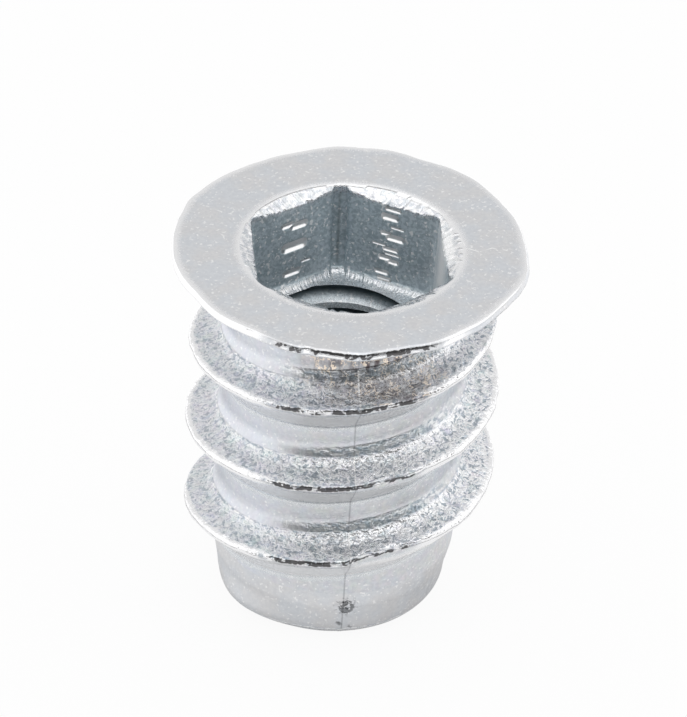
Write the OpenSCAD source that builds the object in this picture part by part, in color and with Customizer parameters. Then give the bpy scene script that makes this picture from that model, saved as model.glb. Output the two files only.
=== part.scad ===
// Hex-drive threaded insert for wood, a single zinc die casting.
//
// A thin flange sits on a parallel body. The body carries a coarse, sharp-edged wood
// thread outside and a machine-thread bore inside, and it ends in a rounded pilot tip.
// The flange is open to a hexagonal socket, whose floor is the mouth of the bore.
//
// Millimetres, +Z up. The origin is the centre of the flat end of the pilot tip, which
// is the face that the insert stands on. The die's parting plane is the YZ plane, and
// two of the hexagon's corners lie on it.

/* [Overall] */
// Length from the flat end of the tip to the top of the flange
overall_h = 18.4; // [16:0.1:26]

/* [Flange] */
// Diameter of the flange
flange_d = 16; // [15:0.1:20]
// Thickness of the flange at its rim
flange_edge_t = 0.4; // [0.3:0.05:0.8]
// Thickness of the flange where it meets the body
flange_neck_t = 0.9; // [0.8:0.05:1.5]
// Fillet between the underside of the flange and the body
flange_fillet_r = 0.5; // [0.2:0.05:0.8]
// How far the flash at the die's parting plane stands out of the rim
flash_proud = 0.2; // [0.05:0.05:0.3]
// Radius of the flash's outline
flash_r = 6.5; // [5:0.1:7]

/* [Body and pilot tip] */
// Diameter of the body between the turns of the wood thread
root_d = 10.8; // [10.6:0.1:12.4]
// Diameter of the flat ring that ends the tip
tip_flat_d = 8.1; // [7.9:0.1:8.6]
// Radius that rounds the tip
tip_round_r = 1.2; // [0.5:0.05:1.2]
// Height at which the tip reaches the full diameter of the body
tip_taper_h = 2.2; // [1.8:0.1:3]

/* [Wood thread] */
// Diameter over the crests
thread_d = 14.1; // [13:0.1:14.6]
// Rise in one turn, right-handed
thread_pitch = 4.25; // [4:0.05:5]
// Height of the middle of the crest where the thread starts
thread_start_z = 3.5; // [3.2:0.1:5]
// Distance from the crest's finish up to the top of the flange
thread_end_gap = 0.85; // [0.8:0.05:3]
// Width of the crest
crest_w = 0.26; // [0.15:0.01:0.5]
// Slope of the flank that faces the flange, from a flat ring
upper_flank_angle = 12; // [5:1:30]
// Slope of the flank that faces the tip, from a flat ring
lower_flank_angle = 47; // [30:1:50]
// Fillet at the foot of the upper flank
upper_fillet_r = 1.1; // [0.4:0.05:1.2]
// Fillet at the foot of the lower flank
lower_fillet_r = 0.45; // [0.2:0.05:0.8]
// Angle over which the ridge grows out of the body at its start
run_in_angle = 130; // [60:5:180]
// Angle over which the ridge dies away at its finish
run_out_angle = 220; // [60:5:240]

/* [Hexagonal socket] */
// Size of the hexagon key, across flats
key_af = 8; // [6:0.5:8]
// Room across flats between the key and the floor of the socket
key_clearance = 0.2; // [0.1:0.05:0.4]
// Draft of the socket's walls, in degrees
socket_draft = 1.9; // [0.5:0.1:3]
// Depth from the top of the flange to the floor of the socket
socket_depth = 4.6; // [3.5:0.1:6]
// How far the socket's corners are blunted
corner_blunt = 0.08; // [0.03:0.01:0.2]
// Diameter of the countersink at the mouth of the socket
mouth_d = 9.8; // [9.5:0.1:10.2]
// Slope of the countersink, from the axis
mouth_angle = 62; // [45:1:70]

/* [Machine thread] */
// Bore, at the minor diameter of the machine thread
bore_d = 6.65; // [5:0.05:6.9]
// Lead-in of the bore at the tip
bore_lead = 0.35; // [0.2:0.05:0.4]

/* [Hidden] */
flange_r = flange_d / 2;
root_r = root_d / 2;
thread_r = thread_d / 2;
tip_flat_r = tip_flat_d / 2;
bore_r = bore_d / 2;

neck_z = overall_h - flange_neck_t;
floor_z = overall_h - socket_depth;
floor_af = key_af + key_clearance;
socket_taper = tan(socket_draft);

// The thread is swept in straight steps, with its foot buried in the body.
steps_per_turn = 48;
thread_bury = 0.3;
foot_angle = 15;
fillet_share = 0.8;
upper_arc_steps = 5;
thread_lap = 0.2;
thread_foot_r = root_r - thread_bury;
thread_end_z = overall_h - thread_end_gap;
thread_angle = 360 * (thread_end_z - thread_start_z) / thread_pitch;
thread_steps = ceil(thread_angle * steps_per_turn / 360);
// At its finish the ridge reaches the flange a little past the back of the insert.
thread_end_angle = 170;
smallest_ridge = 0.1;

cut_extra = 1;
zinc = [0.78, 0.79, 0.8];
$fn = 96;

// Points on an arc, from angle a0 to a1.
function arc(centre, r, a0, a1, count) =
    [for (i = [0 : count])
        let (a = a0 + (a1 - a0) * i / count)
            centre + r * [cos(a), sin(a)]];

// Half section of the plain casting, as [radius, height].
function body_section() =
    let (
        underside_slope = atan2(flange_neck_t - flange_edge_t, flange_r - root_r),
        fillet_x = root_r + flange_fillet_r,
        // The fillet's centre is one radius below the sloping underside.
        fillet_z = neck_z + flange_fillet_r * tan(underside_slope)
            - flange_fillet_r / cos(underside_slope)
    )
    concat(
        [[0, 0]],
        arc([tip_flat_r, tip_round_r], tip_round_r, -90, 0, 8),
        [[root_r, tip_taper_h]],
        arc([fillet_x, fillet_z], flange_fillet_r, 180, 90 + underside_slope, 5),
        [
            [flange_r, overall_h - flange_edge_t],
            [flange_r, overall_h],
            [0, overall_h],
        ]
    );

// Section of the ridge, as [radius, height above the middle of the crest], from the
// lower foot over the crest to the upper foot.
function ridge_section() =
    let (
        half_w = crest_w / 2,
        lo = lower_flank_angle,
        up = upper_flank_angle,
        height = thread_r - root_r,
        // Each fillet leaves its flank smoothly and meets the body at foot_angle. On a low
        // ridge it is limited to the part of the flank that fillet_share allows.
        lower_r = min(lower_fillet_r, fillet_share * height / (1 - sin(lo))),
        upper_r = min(upper_fillet_r, fillet_share * height / (1 - sin(up))),
        lower_touch = lower_r * (1 - sin(lo)),
        upper_touch = upper_r * (1 - sin(up)),
        lower_centre = [root_r + lower_r,
            -half_w - (height - lower_touch) * tan(lo) - lower_r * cos(lo)],
        upper_centre = [root_r + upper_r,
            half_w + (height - upper_touch) * tan(up) + upper_r * cos(up)],
        lower_arc = arc(lower_centre, lower_r, 180 - foot_angle, 90 + lo, 2),
        upper_arc = arc(upper_centre, upper_r, 270 - up, 180 + foot_angle, upper_arc_steps)
    )
    concat(
        [[thread_foot_r, lower_arc[0][1] - thread_bury]],
        lower_arc,
        [[thread_r, -half_w], [thread_r, half_w]],
        upper_arc,
        [[thread_foot_r, upper_arc[upper_arc_steps][1] + thread_bury]]
    );

// Size of the ridge at an angle from its start, from smallest_ridge to 1.
function ridge_scale(angle) =
    max(smallest_ridge, min(1, angle / run_in_angle, (thread_angle - angle) / run_out_angle));

module body_blank() {
    rotate_extrude()
        polygon(body_section());
}

// The flash left on the rim where the two halves of the die met, in front and behind.
module parting_flash() {
    for (side = [-1, 1])
        translate([0, side * (flange_r + flash_proud - flash_r), overall_h - flange_edge_t])
            cylinder(h = flange_edge_t, r = flash_r);
}

// The ridge's section swept along a helix. It shrinks towards a point inside the body at
// both ends, so that it grows out of the body and dies away again.
module ridge_sweep() {
    section = ridge_section();
    count = len(section);
    points = [
        for (i = [0 : thread_steps])
            let (
                angle = thread_angle * i / thread_steps,
                turned = angle - thread_angle + thread_end_angle,
                z = thread_start_z + thread_pitch * angle / 360,
                size = ridge_scale(angle)
            )
            for (p = section)
                let (r = thread_foot_r + size * (p[0] - thread_foot_r))
                    [r * cos(turned), r * sin(turned), z + size * p[1]]
    ];
    last = thread_steps * count;
    sides = [
        for (i = [0 : thread_steps - 1], j = [0 : count - 1])
            let (
                a = i * count + j,
                b = i * count + (j + 1) % count
            )
            each [[a, b, a + count], [b, b + count, a + count]]
    ];
    polyhedron(
        points = points,
        faces = concat(
            [[for (j = [count - 1 : -1 : 0]) j]],
            sides,
            [[for (j = [0 : count - 1]) last + j]]
        ),
        convexity = 10
    );
}

// The wood thread: the ridge, hollowed so that it laps only the skin of the body.
module wood_thread() {
    difference() {
        ridge_sweep();
        translate([0, 0, -cut_extra])
            cylinder(h = overall_h + 2 * cut_extra, r = root_r - thread_lap);
    }
}

// The socket as a solid: a drafted hexagon with blunted corners and a countersunk mouth.
module socket_space() {
    top_z = overall_h + cut_extra;
    // Radii over the corners, at the floor and at the top of the cut.
    floor_r = floor_af / 2 / cos(30);
    top_r = (floor_af / 2 + (top_z - floor_z) * socket_taper) / cos(30);
    mouth_depth = mouth_d / 2 / tan(mouth_angle);
    intersection() {
        translate([0, 0, floor_z])
            rotate([0, 0, 30])
                cylinder(h = top_z - floor_z, r1 = floor_r, r2 = top_r, $fn = 6);
        translate([0, 0, floor_z - cut_extra])
            cylinder(h = top_z - floor_z + 2 * cut_extra,
                r1 = floor_r - corner_blunt, r2 = top_r - corner_blunt);
    }
    translate([0, 0, overall_h - mouth_depth])
        cylinder(h = mouth_depth + cut_extra, r1 = 0,
            r2 = mouth_d / 2 + cut_extra * tan(mouth_angle));
}

// The bore as a solid, with its lead-in at the tip. It meets the socket's floor square.
module bore_space() {
    translate([0, 0, -cut_extra])
        cylinder(h = floor_z + 2 * cut_extra, r = bore_r);
    translate([0, 0, -bore_lead])
        cylinder(h = 2 * bore_lead, r1 = bore_r + 2 * bore_lead, r2 = bore_r);
}

module insert_body() {
    color(zinc)
        difference() {
            union() {
                body_blank();
                parting_flash();
                wood_thread();
            }
            socket_space();
            bore_space();
        }
}

insert_body();
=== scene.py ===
# %% [markdown]
# # A threaded insert, as it comes out of the die
#
# The part is a hex-drive insert for wood: one zinc die casting with a bright zinc
# plating. It has a thin flange, a coarse sharp wood thread, a hexagon socket, a bore
# with a machine thread, and a rounded pilot tip. This lesson builds its finished
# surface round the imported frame, gives it a plated, slightly hammered metal, and sets
# it in a plain white studio.
#
# The frame comes first. Everything is in metres there, and this script thinks in
# millimetres, so lengths are turned over once, at the end of the modelling.

import math

import bmesh
import bpy
from mathutils import Matrix, Vector, noise


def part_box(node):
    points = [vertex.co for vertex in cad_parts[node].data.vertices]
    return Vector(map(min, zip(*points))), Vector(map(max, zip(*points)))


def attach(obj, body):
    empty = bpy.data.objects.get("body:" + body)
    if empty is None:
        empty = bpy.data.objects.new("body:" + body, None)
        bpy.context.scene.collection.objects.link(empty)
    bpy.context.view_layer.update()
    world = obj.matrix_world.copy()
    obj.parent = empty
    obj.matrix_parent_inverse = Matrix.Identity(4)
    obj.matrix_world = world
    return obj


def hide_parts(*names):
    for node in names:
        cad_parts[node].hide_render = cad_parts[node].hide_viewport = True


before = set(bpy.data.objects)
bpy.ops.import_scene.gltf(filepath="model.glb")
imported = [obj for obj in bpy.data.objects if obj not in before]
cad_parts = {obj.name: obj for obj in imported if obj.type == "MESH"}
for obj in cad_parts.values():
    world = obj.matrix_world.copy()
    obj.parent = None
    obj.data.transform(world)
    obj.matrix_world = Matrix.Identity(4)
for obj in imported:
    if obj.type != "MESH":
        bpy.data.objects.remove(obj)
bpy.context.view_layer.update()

MM = 0.001
low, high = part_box("insert_body")
INSERT_H = (high.z - low.z) / MM
FLANGE_R = high.x / MM
print(f"insert {INSERT_H:.2f} mm tall, flange {2 * FLANGE_R:.2f} mm across")

# %% [markdown]
# ## Bands
#
# The whole skin of the casting is a set of bands that meet edge to edge: two are
# screw threads and the rest are turned shapes. A band could be a boolean of simple
# solids, but where a thread's fillets run out on a round body the cut is a knife edge,
# and bright metal shows every bad triangle there. So the bands are laid out directly.
#
# Each band starts as a flat grid: across it run the steps round the axis, and up it run
# the rows from edge to edge. Every vertex is then wrapped to its real place, so the rows
# of the mesh follow the crest of the thread all the way round.

# %% Wrap a band
STEPS = 300
STEP_DEG = 360 / STEPS


def wrap_band(mesh, rows, first_step, last_step, place):
    """Makes a grid of rows by steps and wraps each vertex to place(row, step) round the axis."""
    steps = last_step - first_step
    grid = bmesh.ops.create_grid(mesh, x_segments=steps, y_segments=rows, size=0.5)
    for vertex in grid["verts"]:
        row = round((vertex.co.y + 0.5) * rows)
        step = first_step + round((vertex.co.x + 0.5) * steps)
        radius, height = place(row, step)
        angle = math.radians(step * STEP_DEG)
        vertex.co = (radius * math.cos(angle), radius * math.sin(angle), height)


print(f"{STEPS} steps of {STEP_DEG:.1f} degrees to a turn")

# %% [markdown]
# Three helpers serve every band: points on an arc, a value part of the way between two
# others, and a soft step from 0 to 1, which lets one shape fade into the next without a
# kink that bright metal would show.

# %% Arcs and blends
def arc_points(centre, radius, start, stop, count):
    """count + 1 points on an arc, from angle start to stop in degrees."""
    angles = [math.radians(start + (stop - start) * i / count) for i in range(count + 1)]
    return [(centre[0] + radius * math.cos(a), centre[1] + radius * math.sin(a)) for a in angles]


def mix(a, b, t):
    return a + (b - a) * t


def smooth(t):
    t = min(1, max(0, t))
    return t * t * (3 - 2 * t)


print(f"a quarter of the way along, the soft step has reached {smooth(0.25):.2f}")

# %% [markdown]
# ## Wood thread
#
# The thread is a ridge with a nearly flat flank towards the flange, which holds the
# wood, and a steep flank towards the tip, which cuts into it. The crest is 0.26 mm wide
# with slightly rounded corners. The rows below run from the foot of the lower flank,
# over the crest, to the foot of the upper flank, each as height above the body and
# distance above the middle of the crest.

# %% Section of the ridge
ROOT_R = 5.4
THREAD_R = 7.05
PITCH = 4.25
START_Z = 3.5
END_GAP = 0.85
END_Z = INSERT_H - END_GAP
THREAD_DEG = 360 * (END_Z - START_Z) / PITCH
END_ANGLE = 170
RUN_IN = 130
RUN_OUT = 220
HALF_CREST = 0.13
UPPER_FLANK = math.radians(12)
LOWER_FLANK = math.radians(47)
UPPER_FILLET = 1.1
LOWER_FILLET = 0.45
CREST_ROUND = 0.2
# Rows along each stretch of the section, more where it bends more.
FOOT_ROWS = 3
LOWER_FLANK_ROWS = 4
LOWER_CORNER_ROWS = 2
UPPER_CORNER_ROWS = 4
UPPER_FLANK_ROWS = 3
NECK_ROWS = 9


def points_between(a, b, count):
    """count points evenly spaced between two others."""
    shares = [i / (count + 1) for i in range(1, count + 1)]
    return [(mix(a[0], b[0], share), mix(a[1], b[1], share)) for share in shares]


def ridge_rows():
    """Height above the body and distance above the crest's middle of every row of the ridge."""
    height = THREAD_R - ROOT_R
    lower_touch = LOWER_FILLET * (1 - math.sin(LOWER_FLANK))
    upper_touch = UPPER_FILLET * (1 - math.sin(UPPER_FLANK))
    lower_z = (-HALF_CREST - (height - lower_touch) * math.tan(LOWER_FLANK)
               - LOWER_FILLET * math.cos(LOWER_FLANK))
    upper_z = (HALF_CREST + (height - upper_touch) * math.tan(UPPER_FLANK)
               + UPPER_FILLET * math.cos(UPPER_FLANK))
    lower_deg = math.degrees(LOWER_FLANK)
    upper_deg = math.degrees(UPPER_FLANK)
    foot = arc_points((LOWER_FILLET, lower_z), LOWER_FILLET, 180, 90 + lower_deg, FOOT_ROWS)
    # Each corner of the crest turns from the flank's direction to the crest's.
    lower_cut = CREST_ROUND * math.tan(math.radians(90 - lower_deg) / 2)
    upper_cut = CREST_ROUND * math.tan(math.radians(90 - upper_deg) / 2)
    lower_corner = arc_points((height - CREST_ROUND, lower_cut - HALF_CREST), CREST_ROUND,
                              lower_deg - 90, 0, LOWER_CORNER_ROWS)
    upper_corner = arc_points((height - CREST_ROUND, HALF_CREST - upper_cut), CREST_ROUND,
                              0, 90 - upper_deg, UPPER_CORNER_ROWS)
    neck = arc_points((UPPER_FILLET, upper_z), UPPER_FILLET, 270 - upper_deg, 180, NECK_ROWS)
    return (foot + points_between(foot[-1], lower_corner[0], LOWER_FLANK_ROWS) + lower_corner
            + upper_corner + points_between(upper_corner[-1], neck[0], UPPER_FLANK_ROWS) + neck)


RIDGE = ridge_rows()
print(f"{len(RIDGE)} rows over the ridge, from {RIDGE[0][1]:.2f} to {RIDGE[-1][1]:.2f} mm")

# %% [markdown]
# The flange's underside is a gentle cone, which a fillet joins to the body. Its height at
# a radius is worked out here, because the thread runs up into it.

# %% Underside of the flange
FLANGE_EDGE = 0.4
FLANGE_NECK = 0.9
FLANGE_FILLET = 0.5
NECK_Z = INSERT_H - FLANGE_NECK
UNDER_SLOPE = (FLANGE_NECK - FLANGE_EDGE) / (FLANGE_R - ROOT_R)
UNDER_ANGLE = math.atan(UNDER_SLOPE)
FILLET_R = ROOT_R + FLANGE_FILLET
FILLET_Z = NECK_Z + FLANGE_FILLET * (UNDER_SLOPE - 1 / math.cos(UNDER_ANGLE))
FILLET_END_R = FILLET_R - FLANGE_FILLET * math.sin(UNDER_ANGLE)


def underside_z(radius):
    """Height of the flange's underside at a radius, from its fillet to its rim."""
    if radius >= FILLET_END_R:
        return NECK_Z + UNDER_SLOPE * (radius - ROOT_R)
    reach = max(0, FLANGE_FILLET ** 2 - (FILLET_R - max(ROOT_R, radius)) ** 2)
    return FILLET_Z + math.sqrt(reach)


print(f"underside from {underside_z(ROOT_R):.2f} mm at the body to {underside_z(FLANGE_R):.2f} mm at the rim")

# %% [markdown]
# The ridge grows out of the body near the tip and dies away under the flange, where its
# hollow and the flange's fillet meet in a valley that narrows towards the back. `collar`
# finds that valley for any angle: it is where the ridge's own section first rises
# through the flange's underside. Halving the stretch again and again finds the point.

# %% Valley under the flange
HALVINGS = 20


def ridge_size(turned):
    """Size of the ridge, from 0 to 1, at an angle from its start."""
    return max(0, min(1, turned / RUN_IN, (THREAD_DEG - turned) / RUN_OUT))


def crest_z(turned):
    return START_Z + PITCH * turned / 360


def turned_from(step):
    """Angle from the thread's start at a step, counted through all the turns."""
    return step * STEP_DEG - END_ANGLE + THREAD_DEG


collars = {}


def collar(step):
    """Radius and height at which the wall ends under the flange, at a step."""
    step %= STEPS
    if step in collars:
        return collars[step]
    found = (ROOT_R, FILLET_Z)
    turned = turned_from(step)
    while turned > THREAD_DEG:
        turned -= 360
    while turned <= THREAD_DEG - 360:
        turned += 360
    size = ridge_size(turned)
    section = [(ROOT_R + size * h, crest_z(turned) + size * o) for h, o in RIDGE]
    section.append((ROOT_R, section[-1][1] + PITCH))
    for a, b in zip(section, section[1:]):
        if b[1] > underside_z(b[0]) and b[1] > FILLET_Z:
            inside, outside = 0, 1
            for _ in range(HALVINGS):
                half = (inside + outside) / 2
                radius, height = mix(a[0], b[0], half), mix(a[1], b[1], half)
                if height > underside_z(radius):
                    outside = half
                else:
                    inside = half
            found = (mix(a[0], b[0], inside), mix(a[1], b[1], inside))
            break
    collars[step] = found
    return found


valley = [collar(step)[1] for step in range(STEPS)]
print(f"the valley lies between {min(valley):.2f} and {max(valley):.2f} mm")

# %% [markdown]
# Each turn of the wall reaches from the line below its ridge to the line below the next
# one. At the two ends of the thread that line is held at a flat ring, so the spare turn
# there closes to nothing like a wedge, and the band ends level with its neighbours.

# %% Place the wall's rows
WALL_LOW_Z = 2.65
FOOT_DROP = 2.35
# One strip leads up to the ridge, and three strips over the body lead on to the next turn.
WALL_ROWS = len(RIDGE) + 3
# Below this size the ridge's rows even out over the body.
FADE_SIZE = 0.3
TOUCH = 1e-6


def wall_line(step):
    """Radius and height of the line that parts one turn of the wall from the next."""
    top = collar(step)
    height = crest_z(turned_from(step)) - FOOT_DROP
    if height >= top[1]:
        return top
    return ROOT_R, max(WALL_LOW_Z, height)


def wall_place(row, step):
    """Radius and height of a row of the wall at a step, counted through all the turns."""
    below, above = wall_line(step), wall_line(step + STEPS)
    if row == 0:
        return below
    if row == WALL_ROWS:
        return above
    turned = turned_from(step)
    size = ridge_size(turned)
    even = mix(below[1], above[1], row / WALL_ROWS)
    if size <= 0:
        if above[1] - below[1] < TOUCH:
            return above
        return ROOT_R, even
    if row <= len(RIDGE):
        rise, offset = RIDGE[row - 1]
        radius = ROOT_R + size * rise
        height = crest_z(turned) + size * offset
    else:
        foot = crest_z(turned) + size * RIDGE[-1][1]
        share = (row - len(RIDGE)) / (WALL_ROWS - len(RIDGE))
        radius = ROOT_R
        height = mix(foot, max(foot, above[1]), share)
    height = mix(even, height, smooth(size / FADE_SIZE))
    height = max(below[1], height)
    if height > underside_z(radius) or height >= above[1]:
        top = collar(step)
        return top if above[1] >= top[1] - TOUCH else above
    return radius, height


print(f"{WALL_ROWS} rows to a turn of the wall")

# %% [markdown]
# ## Flange and socket
#
# From the valley the skin runs out under the flange, round the rim, over the flat top
# and down into the hexagon socket. The socket is a six-sided pocket with a little draft,
# cut by a wide countersink. On each wall the cut leaves a crescent, deepest at the
# middle of the flat and nearly gone at the corners. Every column of the band finds the
# height at which its own wall meets the countersink, so the crescents come out exactly.

# %% Section of the socket
SOCKET_DEPTH = 4.6
FLOOR_Z = INSERT_H - SOCKET_DEPTH
KEY_HALF = 4.1
DRAFT = math.tan(math.radians(1.9))
CORNER_R = 4.654
# One corner was cast with a flat notch, which starts a little above the floor.
NOTCH_ANGLE = 90
NOTCH_HALF = 4.5
NOTCH_FOOT_R = CORNER_R + 0.02
NOTCH_R = 4.73
NOTCH_LOW = 0.4
NOTCH_RISE = 2.2


def socket_r(step, height):
    """Radius of the hexagon's wall at a step: its flats, blunt corners and the one notch."""
    depth_gain = (height - FLOOR_Z) * DRAFT
    off_flat = math.radians((step * STEP_DEG + 30) % 60 - 30)
    flat = (KEY_HALF + depth_gain) / math.cos(off_flat)
    off_notch = (step * STEP_DEG - NOTCH_ANGLE + 180) % 360 - 180
    if abs(off_notch) < NOTCH_HALF:
        reach = smooth((height - FLOOR_Z - NOTCH_LOW) / NOTCH_RISE)
        return mix(NOTCH_FOOT_R, NOTCH_R, reach) + depth_gain
    return min(flat, CORNER_R + depth_gain / math.cos(math.radians(30)))


print(f"socket {2 * socket_r(0, FLOOR_Z):.2f} mm across its flats at the floor")

# %% [markdown]
# The countersink lies a little off the axis, and its edge is ragged, and worn down at the
# hexagon's corners. Its height is found by trying again from the last answer, because
# the wall that it meets leans too.

# %% Mouth of the socket
MOUTH_R = 4.99
MOUTH_LEAN = 0.09
MOUTH_SLOPE = math.tan(math.radians(64))
FIRST_CUT = 0.3
CUT_TRIES = 12
CORNER_WEAR = 0.08
CORNER_WEAR_HALF = 12
EDGE_RAG = 0.18
RAG_LIMIT = 0.05
RAG_PER_DEG = 0.55
RAG_PLACE = 7.3
LEAST_CUT = 0.03


def mouth_r(step):
    """Radius of the countersink's mouth at a step."""
    return MOUTH_R + MOUTH_LEAN * math.cos(math.radians(step * STEP_DEG + 45))


def countersink_z(step):
    """Height at which the countersink meets the hexagon's wall at a step."""
    height = INSERT_H - FIRST_CUT
    for _ in range(CUT_TRIES):
        height = INSERT_H - (mouth_r(step) - socket_r(step, height)) / MOUTH_SLOPE
    off_corner = abs(step * STEP_DEG % 60 - 30)
    wear_and_painted_light = CORNER_WEAR * smooth(1 - off_corner / CORNER_WEAR_HALF)
    nibble = noise.noise((step * STEP_DEG * RAG_PER_DEG, 0, RAG_PLACE))
    ragged = EDGE_RAG * min(RAG_LIMIT, nibble)
    return min(height + ragged - wear_and_painted_light, INSERT_H - LEAST_CUT)


cuts = [INSERT_H - countersink_z(step) for step in range(STEPS)]
print(f"countersink {min(cuts):.2f} to {max(cuts):.2f} mm deep")

# %% [markdown]
# Each column of the band is put together from three stretches. The first goes out under
# the flange and up round its rim, whose upper edge is crisp on the left and rubbed round
# on the right, as on a casting that has tumbled against others.

# %% Rows round the rim
FLANGE_ROUND = 0.11
RIM_FOOT = -84
RIM_DRAFT = 16
RIM_LEAN = 0.05
CRISP_ROUND = 0.07
RUBBED_ROUND = 0.17
UNDERSIDE_ROWS = 10
UNDERSIDE_CROWDING = 1.7


def rim_round(step):
    """Radius of the rim's upper edge, from crisp to rubbed."""
    angle = (step * STEP_DEG + 180) % 360 - 180
    rubbed_here = smooth((angle + 128) / 30) * (1 - smooth((angle - 60) / 60))
    return mix(CRISP_ROUND, RUBBED_ROUND, rubbed_here)


def rim_column(step):
    """Rows from the valley out under the flange and up round its rim."""
    start = collar(step)
    low_r = FLANGE_R - FLANGE_ROUND
    column = []
    for i in range(UNDERSIDE_ROWS):
        radius = mix(start[0], low_r, (i / UNDERSIDE_ROWS) ** UNDERSIDE_CROWDING)
        column.append((radius, start[1] if i == 0 else underside_z(radius)))
    low_centre = (low_r, INSERT_H - FLANGE_EDGE + FLANGE_ROUND)
    column += arc_points(low_centre, FLANGE_ROUND, RIM_FOOT, RIM_DRAFT, 3)
    edge_round = rim_round(step)
    high_centre = (FLANGE_R - edge_round - RIM_LEAN, INSERT_H - edge_round)
    return column + arc_points(high_centre, edge_round, RIM_DRAFT, 90, 5)


print(f"{len(rim_column(0))} rows from the valley round the rim")

# %% [markdown]
# The second stretch runs in over the flat top and down the countersink, and the third
# down the wall of the hexagon, round a small fillet and over the floor to the bore.

# %% Rows of the top and the pocket
MOUTH_ROUND = 0.05
FLOOR_FILLET = 0.5
FLANGE_TOP_ROWS = 8
WALL_STEPS = 16
FLOOR_ROWS = 5
# Shares of the way down the countersink, and angles round the fillet at the wall's foot.
CUT_SHARES = (0.12, 0.4, 0.7, 0.92)
FILLET_ANGLES = (0, 22, 45, 68, 90)


def top_column(step):
    """Rows inwards over the flange's flat top and down the countersink."""
    outer_r = FLANGE_R - rim_round(step) - RIM_LEAN
    inner_r = mouth_r(step) + MOUTH_ROUND
    column = [(mix(outer_r, inner_r, i / FLANGE_TOP_ROWS), INSERT_H) for i in range(1, FLANGE_TOP_ROWS)]
    column.append((mouth_r(step) + MOUTH_ROUND / 2, INSERT_H))
    cut_z = countersink_z(step)
    cut_r = socket_r(step, cut_z)
    column += [(mix(mouth_r(step), cut_r, share), mix(INSERT_H, cut_z, share)) for share in CUT_SHARES]
    return column


def pocket_column(step):
    """Rows down the hexagon's wall, round its fillet and over the socket's floor."""
    cut_z = countersink_z(step)
    wall_top = cut_z - min(MOUTH_ROUND, (INSERT_H - cut_z) / 3)
    wall_foot = FLOOR_Z + FLOOR_FILLET
    heights = [mix(wall_top, wall_foot, i / WALL_STEPS) for i in range(WALL_STEPS)]
    column = [(socket_r(step, height), height) for height in heights]
    foot_r = socket_r(step, wall_foot) - FLOOR_FILLET
    for angle in map(math.radians, FILLET_ANGLES):
        column.append((foot_r + FLOOR_FILLET * math.cos(angle), wall_foot - FLOOR_FILLET * math.sin(angle)))
    end_r = bore_r(step, FLOOR_Z)
    column += [(mix(foot_r, end_r, i / FLOOR_ROWS), FLOOR_Z) for i in range(1, FLOOR_ROWS + 1)]
    return column


def flange_column(step):
    """Every row of the flange and socket at a step, from the valley inwards."""
    return rim_column(step) + top_column(step) + pocket_column(step)


print(f"{len(top_column(0))} rows over the top and down the countersink")

# %% [markdown]
# ## Bore
#
# The bore has an M8 thread of 1.25 mm pitch. Its groove is a plain 60 degree vee, so the
# same kind of band does, with four rows to a turn. A short cone leads into it at the tip.
# At the socket's floor it has none, and the groove simply breaks out there.

# %% Place the bore's rows
BORE_R = 3.325
GROOVE_R = 4.0
BORE_PITCH = 1.25
LEAD = 0.35
GROOVE_HALF = 0.469
GROOVE_FLAT = 0.078
GROOVE_ROWS = [-GROOVE_HALF, -GROOVE_FLAT, GROOVE_FLAT, GROOVE_HALF]
BORE_PHASE = 185


def groove_z(step):
    """Height of the middle of the groove at a step, counted through all the turns."""
    return FLOOR_Z + BORE_PITCH * (step * STEP_DEG - BORE_PHASE) / 360


def bore_r(step, height):
    """Radius of the threaded wall at a step and a height, with the lead-in cone at the tip."""
    off = (height - groove_z(step) + BORE_PITCH / 2) % BORE_PITCH - BORE_PITCH / 2
    depth = max(0, abs(off) - GROOVE_FLAT) * math.sqrt(3)
    return max(BORE_R, GROOVE_R - depth, BORE_R + LEAD - height)


def bore_place(row, step):
    """Radius and height of a row of the bore at a step, counted through all the turns."""
    turn, row = divmod(row, len(GROOVE_ROWS))
    height = groove_z(step) + BORE_PITCH * turn + GROOVE_ROWS[row]
    height = min(FLOOR_Z, max(0, height))
    return bore_r(step, height), height


print(f"{FLOOR_Z / BORE_PITCH:.1f} turns of thread in the bore")

# %% [markdown]
# ## Pilot tip
#
# Below the thread the body tapers a little and rounds over to a narrow flat ring, which
# guides the insert into its hole. It is a plain turned shape.

# %% Place the tip's rows
TIP_FLAT_R = 4.05
TIP_ROUND = 1.2
TIP_TAPER_Z = 2.2
BODY_ROWS = 5
TAPER_ROWS = 10
TIP_ROUND_ROWS = 12


def tip_column(step):
    """Every row of the tip at a step, from the wall down and in to the bore."""
    column = [(ROOT_R, mix(WALL_LOW_Z, TIP_TAPER_Z, i / BODY_ROWS)) for i in range(BODY_ROWS)]
    shoulder = (TIP_FLAT_R + TIP_ROUND, TIP_ROUND)
    for i in range(TAPER_ROWS):
        share = i / TAPER_ROWS
        column.append((mix(ROOT_R, shoulder[0], share), mix(TIP_TAPER_Z, shoulder[1], share)))
    column += arc_points((TIP_FLAT_R, TIP_ROUND), TIP_ROUND, 0, -90, TIP_ROUND_ROWS)
    column.append((bore_r(step, 0), 0))
    return column


print(f"{len(tip_column(0))} rows over the tip, which ends in a ring {2 * TIP_FLAT_R:.1f} mm across")

# %% [markdown]
# ## Put the bands together
#
# Neighbouring bands end on the same points, so merging doubles sews them into one
# closed skin. A closed skin has no loose edge, and the printed count proves it.

# %% Sew the skin
SEW_GAP = 2e-4
SLIVER = 1e-5
LEVEL = 1e-9


def wrap_columns(mesh, column_at):
    """Wraps a band all the way round, with each column's points worked out once."""
    columns = [column_at(step) for step in range(STEPS)]
    wrap_band(mesh, len(columns[0]) - 1, 0, STEPS, lambda row, step: columns[step % STEPS][row])


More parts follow.
